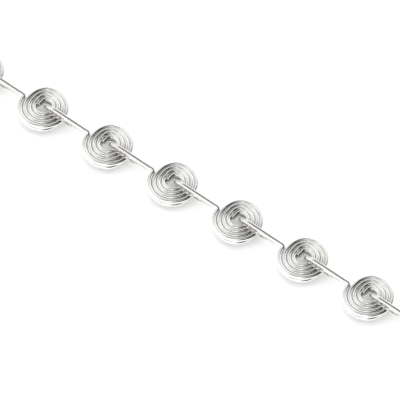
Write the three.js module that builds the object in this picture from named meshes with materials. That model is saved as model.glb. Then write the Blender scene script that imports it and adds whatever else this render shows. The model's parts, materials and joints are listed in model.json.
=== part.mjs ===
// A decorative chain of spiral wire links.
//
// Every link is one length of round wire. The wire is folded into a hairpin, and its two halves
// are wound together into a flat double coil, one layer above the other, with an open eye in the
// middle. The hairpin hooks through the eye of the link before it, so that one leg lies above that
// coil and the other leg below it. The links are identical and each turns freely on the next.
//
// Millimetres, +Z up. The chain lies straight along +X on the plane z = 0, hairpins towards -X.
// A link's own frame has its origin in the middle of the coil, halfway between the two layers.

import * as THREE from 'three';

// Driving dimensions
const WIRE_DIAMETER = 1.0;
const LINK_COUNT = 8;
const LINK_PITCH = 17.5 * WIRE_DIAMETER;

// Coil: circular turns, each joined to the next by a short inward jog. Angles are in degrees,
// anticlockwise from +X, and the coil winds inwards as they grow. The two layers jog at different
// places, and the lower one ends sooner, without a tail.
const OUTER_TURN_RADIUS = 5.2 * WIRE_DIAMETER;
const TURN_SPACING = 1.02 * WIRE_DIAMETER;
const TURN_COUNT = 4;
const JOG_SPAN = 75;
const UPPER_COIL = { side: 1, firstJog: 466, end: 1530 };
const LOWER_COIL = { side: -1, firstJog: 300, end: 1380 };
const LAYER_HEIGHT = 0.53 * WIRE_DIAMETER;
const RISE_PER_TURN = 0.12 * WIRE_DIAMETER;

// Upper wire's end: a tight arc off the innermost turn, then a short straight tail beside it
const TAIL_LENGTH = 1.3 * WIRE_DIAMETER;

// Hairpin: an elbow out of the outer turn, a sloping leg, and a round hook. The hairpin's plane is
// rolled about X from upright, and stands a little to the +Y side of the coil's centre.
const LEG_ANGLE = 180;
const ELBOW_RADIUS = 0.6 * WIRE_DIAMETER;
const LEG_FOOT_RISE = 0.8 * WIRE_DIAMETER;
const HOOK_RADIUS = 2.35 * WIRE_DIAMETER;
const HOOK_REACH = 17.1 * WIRE_DIAMETER;
const HAIRPIN_ROLL = 15;
const LEG_FOOT_OFFSET = 0.32 * WIRE_DIAMETER;
const HOOK_OFFSET = 0.35 * WIRE_DIAMETER;

// Facets
const SECTION_SIDES = 8;
const COIL_STEP = 30;
const TAIL_ARC_STEPS = 3;
const ELBOW_STEPS = 4;
const HOOK_STEP = 15;

const SILVER_WIRE = { color: 0xd9dadb, roughness: 0.12, metalness: 1.0 };

const wireRadius = WIRE_DIAMETER / 2;
const innerTurnRadius = OUTER_TURN_RADIUS - (TURN_COUNT - 1) * TURN_SPACING;
const radians = THREE.MathUtils.degToRad;
const [rollSine, rollCosine] = [Math.sin(radians(HAIRPIN_ROLL)), Math.cos(radians(HAIRPIN_ROLL))];

/**
 * One station of the wire's centreline: where it is, and the two directions across the wire.
 * They are unit vectors, and `across` times `up` points back along the wire.
 */
function station(x, y, z, across, up = [0, 0, 1]) {
  return {
    point: new THREE.Vector3(x, y, z),
    across: new THREE.Vector3(...across),
    up: new THREE.Vector3(...up),
  };
}

/** How many jogs of a coil lie outside an unwound angle. */
function jogsPassed(coil, angle) {
  let passed = 0;
  for (let turn = 0; turn < TURN_COUNT - 1; turn += 1) {
    const jogStart = coil.firstJog + 360 * turn;
    passed += THREE.MathUtils.smoothstep(angle, jogStart, jogStart + JOG_SPAN);
  }
  return passed;
}

/** The tail in the eye, from its cut end to the upper layer's innermost turn. */
function tailStations() {
  const height = LAYER_HEIGHT + (TURN_COUNT - 1) * RISE_PER_TURN;
  const arcRadius = innerTurnRadius - TURN_SPACING;
  const arcCentreY = innerTurnRadius - arcRadius;
  const stations = [station(-arcRadius, arcCentreY - TAIL_LENGTH, height, [-1, 0, 0])];
  for (let step = 0; step < TAIL_ARC_STEPS; step += 1) {
    const angle = radians(180 - (90 * step) / TAIL_ARC_STEPS);
    const [x, y] = [Math.cos(angle), Math.sin(angle)];
    stations.push(station(arcRadius * x, arcCentreY + arcRadius * y, height, [x, y, 0]));
  }
  return stations;
}

/** One layer's turns, from the inner end outwards to the elbow. */
function coilStations(coil) {
  const stations = [];
  for (let angle = coil.end; angle > LEG_ANGLE + COIL_STEP / 2; angle -= COIL_STEP) {
    const radius = OUTER_TURN_RADIUS - TURN_SPACING * jogsPassed(coil, angle);
    const height = LAYER_HEIGHT + RISE_PER_TURN * jogsPassed(coil, angle);
    const [x, y] = [Math.cos(radians(angle)), Math.sin(radians(angle))];
    stations.push(station(radius * x, radius * y, coil.side * height, [x, y, 0], [0, 0, coil.side]));
  }
  return stations;
}

/**
 * The elbow from the outer turn into a leg, which also takes the wire to the leg's foot.
 * The side is 1 for the upper layer's wire and -1 for the lower layer's.
 */
function elbowStations(side) {
  const footY = LEG_FOOT_OFFSET - side * LEG_FOOT_RISE * rollSine;
  const centreY = footY - ELBOW_RADIUS;
  const centreX = -Math.sqrt((OUTER_TURN_RADIUS + ELBOW_RADIUS) ** 2 - centreY ** 2);
  const startAngle = Math.atan2(-centreY, -centreX);
  const stations = [];
  for (let step = 0; step <= ELBOW_STEPS; step += 1) {
    const share = step / ELBOW_STEPS;
    const angle = THREE.MathUtils.lerp(startAngle, Math.PI / 2, share);
    const height = THREE.MathUtils.lerp(LAYER_HEIGHT, LEG_FOOT_RISE * rollCosine, share);
    const [x, y] = [Math.cos(angle), Math.sin(angle)];
    stations.push(station(
      centreX + ELBOW_RADIUS * x,
      centreY + ELBOW_RADIUS * y,
      side * height,
      [-x, -y, 0],
      [0, 0, side],
    ));
  }
  return stations;
}

/** One half of the hook, from the end of the straight leg to the hook's tip at mid-height. */
function hookStations(legFootX, side) {
  const centreX = HOOK_RADIUS - HOOK_REACH;
  const legFootDistance = Math.hypot(legFootX - centreX, LEG_FOOT_RISE);
  const legSlope = Math.asin(HOOK_RADIUS / legFootDistance)
    - Math.atan2(LEG_FOOT_RISE, legFootX - centreX);
  const angles = [Math.PI / 2 - legSlope];
  for (let angle = 90; angle <= 180; angle += HOOK_STEP) {
    angles.push(radians(angle));
  }
  return angles.map((angle) => {
    const [x, rise] = [Math.cos(angle), side * Math.sin(angle)];
    return station(
      centreX + HOOK_RADIUS * x,
      HOOK_OFFSET - HOOK_RADIUS * rise * rollSine,
      HOOK_RADIUS * rise * rollCosine,
      [0, -rollCosine, -rollSine],
      [x, -rise * rollSine, rise * rollCosine],
    );
  });
}

/** One layer's coil, with its elbow, leg and half of the hook, from the inner end outwards. */
function halfWireStations(coil) {
  const elbow = elbowStations(coil.side);
  const legFoot = elbow.at(-1).point;
  return [...coilStations(coil), ...elbow, ...hookStations(legFoot.x, coil.side)];
}

/** The whole wire: the tail and the upper half, then the lower half back from the hook's tip. */
function wireStations() {
  const lower = halfWireStations(LOWER_COIL).slice(0, -1);
  return [...tailStations(), ...halfWireStations(UPPER_COIL), ...lower.reverse()];
}

/** An extrusion path through given stations, with the section set square on each. */
class StationPath extends THREE.Curve {
  constructor(stations) {
    super();
    this.stations = stations;
  }

  getSpacedPoints() {
    return this.stations.map(({ point }) => point.clone());
  }

  computeFrenetFrames() {
    const normals = this.stations.map(({ across }) => across.clone());
    const binormals = this.stations.map(({ up }) => up.clone());
    const tangents = normals.map((normal, index) => normal.clone().cross(binormals[index]));
    return { tangents, normals, binormals };
  }
}

/** The wire's round section. */
function wireSection() {
  const corners = [];
  for (let side = 0; side < SECTION_SIDES; side += 1) {
    const angle = (2 * Math.PI * side) / SECTION_SIDES;
    corners.push(new THREE.Vector2(wireRadius * Math.cos(angle), wireRadius * Math.sin(angle)));
  }
  return new THREE.Shape(corners);
}

function linkGeometry() {
  const stations = wireStations();
  return new THREE.ExtrudeGeometry(wireSection(), {
    steps: stations.length - 1,
    extrudePath: new StationPath(stations),
    bevelEnabled: false,
  });
}

/** The chain, centred along X, with the undersides of its hooks on z = 0. */
function buildChain() {
  const chain = new THREE.Group();
  const geometry = linkGeometry();
  const hookEnd = HOOK_REACH + wireRadius;
  const coilEnd = OUTER_TURN_RADIUS + wireRadius;
  const chainLength = hookEnd + (LINK_COUNT - 1) * LINK_PITCH + coilEnd;
  const firstCoilX = hookEnd - chainLength / 2;
  geometry.computeBoundingBox();
  const coilHeight = -geometry.boundingBox.min.z;
  for (let index = 0; index < LINK_COUNT; index += 1) {
    const link = new THREE.Mesh(geometry, new THREE.MeshStandardMaterial(SILVER_WIRE));
    link.name = `spiral_link_${index + 1}`;
    link.position.set(firstCoilX + index * LINK_PITCH, 0, coilHeight);
    chain.add(link);
  }
  return chain;
}

export default buildChain();
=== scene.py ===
import json
import math

import bpy
import numpy as np
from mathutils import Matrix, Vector


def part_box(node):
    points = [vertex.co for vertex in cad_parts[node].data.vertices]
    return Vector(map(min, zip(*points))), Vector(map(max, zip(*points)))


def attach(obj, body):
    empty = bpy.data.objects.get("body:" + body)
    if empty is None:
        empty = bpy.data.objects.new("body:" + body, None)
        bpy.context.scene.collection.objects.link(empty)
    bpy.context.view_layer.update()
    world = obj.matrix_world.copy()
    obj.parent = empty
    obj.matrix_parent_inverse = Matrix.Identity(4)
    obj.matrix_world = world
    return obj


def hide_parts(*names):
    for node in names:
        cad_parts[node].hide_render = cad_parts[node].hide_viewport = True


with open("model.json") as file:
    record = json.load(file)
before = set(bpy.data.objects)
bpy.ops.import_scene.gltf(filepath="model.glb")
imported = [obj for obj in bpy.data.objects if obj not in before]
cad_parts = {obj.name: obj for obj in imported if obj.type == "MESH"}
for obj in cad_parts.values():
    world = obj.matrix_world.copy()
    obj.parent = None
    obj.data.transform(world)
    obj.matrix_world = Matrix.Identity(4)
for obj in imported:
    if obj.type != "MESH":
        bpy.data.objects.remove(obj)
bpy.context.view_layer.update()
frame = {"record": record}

# ---------------------------------------------------------------- sizes, all from the CAD frame
# The CAD link is 11.4 wire diameters wide across its coil.
first_low, first_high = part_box("spiral_link_1")
WIRE = (first_high.y - first_low.y) / 11.4
WIRE_RADIUS = WIRE / 2

OUTER_TURN_RADIUS = 5.2 * WIRE
TURN_SPACING = 1.02 * WIRE
TURN_COUNT = 4
INNER_TURN_RADIUS = OUTER_TURN_RADIUS - (TURN_COUNT - 1) * TURN_SPACING
JOG_SPAN = 75
LAYER_HEIGHT = 0.53 * WIRE
RISE_PER_TURN = 0.12 * WIRE

# For each layer: its side of the link's middle, the first jog and the inner end in degrees
UPPER_COIL = (1, 466, 1530)
LOWER_COIL = (-1, 300, 1380)

TAIL_LENGTH = 1.3 * WIRE

ELBOW_RADIUS = 0.6 * WIRE
LEG_FOOT_RISE = 0.8 * WIRE
# A little under the CAD's 2.35, so that the round wire stays inside the box of its rolled facets
HOOK_RADIUS = 2.33 * WIRE
HOOK_REACH = 17.1 * WIRE
HAIRPIN_ROLL = math.radians(15)
LEG_FOOT_OFFSET = 0.32 * WIRE
HOOK_OFFSET = 0.35 * WIRE

# Fineness of the visual wire
SECTION_SIDES = 24
COIL_STEP = 4
ELBOW_STEPS = 14
TAIL_ARC_STEPS = 18
HOOK_STEP = 5
LEG_STEPS = 12
CUT_BEVEL = 0.1 * WIRE

# Size of the detail in the silver's finish
SMEARS_PER_METRE = 260
TARNISH_PER_METRE = 700
DRAW_LINE_DEPTH = 0.002 * WIRE


# ---------------------------------------------------------------- the wire's centreline
def smooth(value, low, high):
    share = min(max((value - low) / (high - low), 0), 1)
    return share * share * (3 - 2 * share)


def jogs_passed(first_jog, angle):
    """How many of a coil's inward jogs lie outside an unwound angle, in degrees."""
    return sum(
        smooth(angle, first_jog + 360 * turn, first_jog + 360 * turn + JOG_SPAN)
        for turn in range(TURN_COUNT - 1)
    )


def tail_stations():
    """The straight tail in the eye and its arc, from the cut end to the innermost turn."""
    height = LAYER_HEIGHT + (TURN_COUNT - 1) * RISE_PER_TURN
    arc_radius = INNER_TURN_RADIUS - TURN_SPACING
    centre_y = INNER_TURN_RADIUS - arc_radius
    stations = [
        ((-arc_radius, centre_y - TAIL_LENGTH * (1 - share), height), (-1, 0, 0), (0, 0, 1))
        for share in np.linspace(0, 0.9, 6)
    ]
    for step in range(TAIL_ARC_STEPS):
        angle = math.radians(180 - 90 * step / TAIL_ARC_STEPS)
        x, y = math.cos(angle), math.sin(angle)
        stations.append(((arc_radius * x, centre_y + arc_radius * y, height), (x, y, 0), (0, 0, 1)))
    return stations


def coil_stations(side, first_jog, end, elbow_angle):
    """One layer's turns, from the inner end outwards to the elbow."""
    stations = []
    for angle in np.arange(end, elbow_angle + COIL_STEP / 2, -COIL_STEP):
        jogs = jogs_passed(first_jog, angle)
        radius = OUTER_TURN_RADIUS - TURN_SPACING * jogs
        height = LAYER_HEIGHT + RISE_PER_TURN * jogs
        x, y = math.cos(math.radians(angle)), math.sin(math.radians(angle))
        stations.append(((radius * x, radius * y, side * height), (x, y, 0), (0, 0, side)))
    return stations


def elbow_stations(side):
    """The elbow from the outer turn into a leg, which also takes the wire to the leg's foot."""
    centre_y = LEG_FOOT_OFFSET - side * LEG_FOOT_RISE * math.sin(HAIRPIN_ROLL) - ELBOW_RADIUS
    centre_x = -math.sqrt((OUTER_TURN_RADIUS + ELBOW_RADIUS) ** 2 - centre_y**2)
    start = math.atan2(-centre_y, -centre_x)
    foot_height = LEG_FOOT_RISE * math.cos(HAIRPIN_ROLL)
    stations = []
    for share in np.linspace(0, 1, ELBOW_STEPS + 1):
        angle = start + (math.pi / 2 - start) * share
        height = LAYER_HEIGHT + (foot_height - LAYER_HEIGHT) * share
        x, y = math.cos(angle), math.sin(angle)
        point = (centre_x + ELBOW_RADIUS * x, centre_y + ELBOW_RADIUS * y, side * height)
        stations.append((point, (-x, -y, 0), (0, 0, side)))
    return stations


def hook_station(centre_x, angle, side, roll):
    """A station on the hook's circle, in a plane rolled about X from upright."""
    x, rise = math.cos(angle), side * math.sin(angle)
    up = (x, -rise * math.sin(roll), rise * math.cos(roll))
    point = (centre_x + HOOK_RADIUS * up[0], HOOK_OFFSET + HOOK_RADIUS * up[1], HOOK_RADIUS * up[2])
    return point, (0, -math.cos(roll), -math.sin(roll)), up


def leg_and_hook_stations(foot, side):
    """The straight sloping leg and half of the hook, to the hook's tip at mid-height."""
    centre_x = HOOK_RADIUS - HOOK_REACH
    foot_distance = math.hypot(foot[0] - centre_x, LEG_FOOT_RISE)
    slope = math.asin(HOOK_RADIUS / foot_distance) - math.atan2(LEG_FOOT_RISE, foot[0] - centre_x)
    arc = [90 - math.degrees(slope), *np.arange(90, 180 + HOOK_STEP / 2, HOOK_STEP)]
    hook = [hook_station(centre_x, math.radians(angle), side, HAIRPIN_ROLL) for angle in arc]
    leg = []
    for share in np.linspace(0, 1, LEG_STEPS, endpoint=False)[1:]:
        twisted = hook_station(centre_x, math.radians(arc[0]), side, HAIRPIN_ROLL * share)
        point = np.array(foot) * (1 - share) + np.array(hook[0][0]) * share
        leg.append((tuple(point), twisted[1], twisted[2]))
    return leg + hook


def half_wire_stations(side, first_jog, end):
    """One layer's coil, with its elbow, leg and half of the hook, from the inner end outwards."""
    elbow = elbow_stations(side)
    elbow_angle = 180 + math.degrees(math.atan2(-elbow[0][0][1], -elbow[0][0][0]))
    coil = coil_stations(side, first_jog, end, elbow_angle)
    return [*coil, *elbow, *leg_and_hook_stations(elbow[-1][0], side)]


def wire_stations():
    """The whole wire: the tail and the upper half, then the lower half back from the hook."""
    upper = [*tail_stations(), *half_wire_stations(*UPPER_COIL)]
    lower = half_wire_stations(*LOWER_COIL)[:-1]
    return upper + lower[::-1]


# ---------------------------------------------------------------- the wire's surface
def map_wire(mesh, ring_points):
    """The wire's UV map: length along the wire and turn around it, in wire diameters."""
    lengths = np.concatenate([[0], np.linalg.norm(np.diff(ring_points, axis=0), axis=1).cumsum()])
    lengths = np.append(np.repeat(lengths, SECTION_SIDES), [lengths[0], lengths[-1]]) / WIRE
    turns = np.append(np.tile(np.arange(SECTION_SIDES), len(ring_points)), [0, 0]) * math.pi / SECTION_SIDES
    corners = np.zeros(len(mesh.loops), dtype=int)
    mesh.loops.foreach_get("vertex_index", corners)
    around = turns[corners]
    for face in mesh.polygons:
        face_turns = around[face.loop_start:face.loop_start + face.loop_total]
        if face_turns.max() - face_turns.min() > math.pi / 2:
            face_turns[face_turns < math.pi / 2] += math.pi
    uv_map = mesh.uv_layers.new(name="along_and_around")
    uv_map.data.foreach_set("uv", np.column_stack([lengths[corners], around]).ravel())


def wire_mesh(name, centre):
    """A round wire along the stations, moved to a link's centre, with bevelled cut ends."""
    stations = wire_stations()
    points = np.array([s[0] for s in stations])
    across = np.array([s[1] for s in stations])
    up = np.array([s[2] for s in stations])
    radii = np.full(len(points), WIRE_RADIUS)

    def cut_end(index, outward):
        """Three rings that round the edge of a cut end over, placed beyond a station."""
        rings = []
        for share in (1 / 3, 2 / 3, 1):
            angle = share * math.pi / 2
            reach = CUT_BEVEL * math.sin(angle)
            radius = WIRE_RADIUS - CUT_BEVEL * (1 - math.cos(angle))
            rings.append((points[index] + outward * reach, across[index], up[index], radius))
        return rings

    start_way = (points[0] - points[1]) / np.linalg.norm(points[0] - points[1])
    end_way = (points[-1] - points[-2]) / np.linalg.norm(points[-1] - points[-2])
    middle = list(zip(points, across, up, radii))
    rings = [*reversed(cut_end(0, start_way)), *middle, *cut_end(-1, end_way)]

    phases = 2 * math.pi * np.arange(SECTION_SIDES) / SECTION_SIDES
    verts = []
    for point, side, rise, radius in rings:
        offsets = np.outer(np.cos(phases), side) + np.outer(np.sin(phases), rise)
        verts.append(point + centre + radius * offsets)
    verts = np.concatenate(verts)
    count = len(rings)
    first_cap, last_cap = len(verts), len(verts) + 1
    caps = np.array([rings[0][0] + centre, rings[-1][0] + centre])
    verts = np.concatenate([verts, caps])

    faces = []
    for ring in range(count - 1):
        low, high = ring * SECTION_SIDES, (ring + 1) * SECTION_SIDES
        for side in range(SECTION_SIDES):
            after = (side + 1) % SECTION_SIDES
            faces.append((low + side, low + after, high + after, high + side))
    last = (count - 1) * SECTION_SIDES
    for side in range(SECTION_SIDES):
        after = (side + 1) % SECTION_SIDES
        faces.append((first_cap, after, side))
        faces.append((last_cap, last + side, last + after))

    mesh = bpy.data.meshes.new(name)
    mesh.from_pydata(verts.tolist(), [], faces)
    mesh.polygons.foreach_set("use_smooth", [True] * len(faces))
    map_wire(mesh, np.array([ring[0] for ring in rings]))
    mesh.update()
    return mesh


def silver_wire():
    """Bright drawn silver: fine draw lines along the wire, handling smears and a little tarnish."""
    material = bpy.data.materials.new("silver_wire")
    material.use_nodes = True
    tree = material.node_tree
    shader = tree.nodes["Principled BSDF"]
    shader.inputs["Metallic"].default_value = 1

    def noise(vector, scale, detail):
        texture = tree.nodes.new("ShaderNodeTexNoise")
        tree.links.new(vector, texture.inputs["Vector"])
        texture.inputs["Scale"].default_value = scale
        texture.inputs["Detail"].default_value = detail
        return texture.outputs["Fac"]

    def spread(value, low, high, out_low, out_high):
        scale = tree.nodes.new("ShaderNodeMapRange")
        tree.links.new(value, scale.inputs["Value"])
        scale.inputs["From Min"].default_value = low
        scale.inputs["From Max"].default_value = high
        scale.inputs["To Min"].default_value = out_low
        scale.inputs["To Max"].default_value = out_high
        return scale.outputs["Result"]

    wire_map = tree.nodes.new("ShaderNodeUVMap")
    wire_map.uv_map = "along_and_around"
    stretch = tree.nodes.new("ShaderNodeMapping")
    stretch.inputs["Scale"].default_value = (0.12, 9, 1)
    tree.links.new(wire_map.outputs["UV"], stretch.inputs["Vector"])
    draw_lines = noise(stretch.outputs["Vector"], 1, 4)
    place = tree.nodes.new("ShaderNodeTexCoord").outputs["Object"]
    smears = noise(place, SMEARS_PER_METRE, 3)
    tarnish = noise(place, TARNISH_PER_METRE, 5)

    tint = tree.nodes.new("ShaderNodeMix")
    tint.data_type = "RGBA"
    tree.links.new(spread(tarnish, 0.5, 0.72, 0, 0.8), tint.inputs["Factor"])
    tint.inputs["A"].default_value = (0.94, 0.935, 0.925, 1)
    tint.inputs["B"].default_value = (0.86, 0.83, 0.785, 1)
    tree.links.new(tint.outputs["Result"], shader.inputs["Base Color"])

    roughness = tree.nodes.new("ShaderNodeMath")
    roughness.operation = "ADD"
    tree.links.new(spread(draw_lines, 0.3, 0.7, 0.05, 0.09), roughness.inputs[0])
    tree.links.new(spread(smears, 0.35, 0.65, 0.06, 0.09), roughness.inputs[1])
    tree.links.new(roughness.outputs[0], shader.inputs["Roughness"])

    bump = tree.nodes.new("ShaderNodeBump")
    bump.inputs["Strength"].default_value = 0.1
    bump.inputs["Distance"].default_value = DRAW_LINE_DEPTH
    tree.links.new(draw_lines, bump.inputs["Height"])
    tree.links.new(bump.outputs["Normal"], shader.inputs["Normal"])
    return material


# ---------------------------------------------------------------- the links
silver = silver_wire()
for body, members in frame["record"]["behaviour"]["bodies"].items():
    for node in members:
        low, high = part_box(node)
        centre = np.array([high.x - OUTER_TURN_RADIUS - WIRE_RADIUS, 0, (low.z + high.z) / 2])
        name = node.replace("spiral_link", "spiral_wire")
        wire = bpy.data.objects.new(name, wire_mesh(name, centre))
        bpy.context.scene.collection.objects.link(wire)
        wire.data.materials.append(silver)
        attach(wire, body)
        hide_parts(node)


# ---------------------------------------------------------------- floor
def plain_floor():
    half = 3
    mesh = bpy.data.meshes.new("floor")
    corners = [(-half, -half, 0), (half, -half, 0), (half, half, 0), (-half, half, 0)]
    mesh.from_pydata(corners, [], [(0, 1, 2, 3)])
    floor = bpy.data.objects.new("floor", mesh)
    bpy.context.scene.collection.objects.link(floor)
    material = bpy.data.materials.new("pale_floor")
    material.use_nodes = True
    shader = material.node_tree.nodes["Principled BSDF"]
    shader.inputs["Base Color"].default_value = (0.95, 0.95, 0.95, 1)
    shader.inputs["Roughness"].default_value = 0.9
    shader.inputs["Specular IOR Level"].default_value = 0.1
    mesh.materials.append(material)


plain_floor()

# ---------------------------------------------------------------- camera
VIEW_WIDTH = 0.087
VIEW_ELEVATION = 52.5
VIEW_AZIMUTH = 36.2
AIM = Vector((0.003276, 0.001588, 0.000103))
LENS = 1500


def photo_camera():
    data = bpy.data.cameras.new("camera")
    data.lens = LENS
    data.sensor_width = 36
    data.clip_end = 100
    camera = bpy.data.objects.new("camera", data)
    bpy.context.scene.collection.objects.link(camera)
    azimuth, elevation = math.radians(VIEW_AZIMUTH), math.radians(VIEW_ELEVATION)
    back = Vector((
        math.sin(azimuth) * math.cos(elevation),
        -math.cos(azimuth) * math.cos(elevation),
        math.sin(elevation),
    ))
    distance = VIEW_WIDTH * LENS / data.sensor_width
    camera.location = AIM + back * distance
    camera.rotation_mode = "QUATERNION"
    camera.rotation_quaternion = (-back).to_track_quat("-Z", "Y")
    bpy.context.scene.camera = camera


photo_camera()

# ---------------------------------------------------------------- light
DOME_BRIGHTNESS = 0.86
FLOOR_LIGHT = 1.4
# Soft-edged round areas of the white studio dome, darker or brighter than the rest: turn to the
# right of the camera and elevation of the middle, angles where the edge starts and ends, all in
# degrees, and how many times as bright as the dome.
DOME_AREAS = [
    (36, 8, 28, 50, 0),
    (68, 26, 16, 36, 0),
    (126, 66, 14, 32, 0),
    (-48, 62, 6, 17, 0.05),
    (-160, 4, 8, 30, 0.4),
    (-25, 28, 8, 30, 1.35),
    (-85, 30, 8, 34, 1.2),
    (150, 38, 14, 34, 1.35),
]


def area_factor(tree, direction, turn, elevation, inner, outer, brightness):
    """A factor that is brightness inside a round area of the dome and 1 outside it."""
    azimuth = math.radians(VIEW_AZIMUTH - 90 + turn)
    rise = math.radians(elevation)
    middle = tree.nodes.new("ShaderNodeVectorMath")
    middle.operation = "DOT_PRODUCT"
    tree.links.new(direction, middle.inputs[0])
    middle.inputs[1].default_value = (
        math.cos(azimuth) * math.cos(rise), math.sin(azimuth) * math.cos(rise), math.sin(rise)
    )
    fade = tree.nodes.new("ShaderNodeMapRange")
    fade.interpolation_type = "SMOOTHSTEP"
    tree.links.new(middle.outputs["Value"], fade.inputs["Value"])
    fade.inputs["From Min"].default_value = math.cos(math.radians(outer))
    fade.inputs["From Max"].default_value = math.cos(math.radians(inner))
    fade.inputs["To Min"].default_value = 1
    fade.inputs["To Max"].default_value = brightness
    return fade.outputs["Result"]


def studio_light():
    """A white dome that the metal reflects, and an even light for the floor."""
    world = bpy.data.worlds.new("studio")
    world.use_nodes = True
    world.cycles.sampling_method = "NONE"
    bpy.context.scene.world = world
    tree = world.node_tree
    direction = tree.nodes.new("ShaderNodeTexCoord").outputs["Generated"]
    dome = tree.nodes.new("ShaderNodeValue").outputs[0]
    dome.default_value = DOME_BRIGHTNESS
    for area in DOME_AREAS:
        times = tree.nodes.new("ShaderNodeMath")
        times.operation = "MULTIPLY"
        tree.links.new(dome, times.inputs[0])
        tree.links.new(area_factor(tree, direction, *area), times.inputs[1])
        dome = times.outputs[0]

    path = tree.nodes.new("ShaderNodeLightPath")
    even = tree.nodes.new("ShaderNodeMath")
    even.operation = "ADD"
    even.use_clamp = True
    tree.links.new(path.outputs["Is Camera Ray"], even.inputs[0])
    tree.links.new(path.outputs["Diffuse Depth"], even.inputs[1])
    strength = tree.nodes.new("ShaderNodeMix")
    tree.links.new(even.outputs[0], strength.inputs["Factor"])
    tree.links.new(dome, strength.inputs["A"])
    strength.inputs["B"].default_value = FLOOR_LIGHT
    background = tree.nodes["Background"]
    background.inputs["Color"].default_value = (1, 1, 1, 1)
    tree.links.new(strength.outputs["Result"], background.inputs["Strength"])


studio_light()
bpy.context.scene.view_settings.view_transform = "Standard"
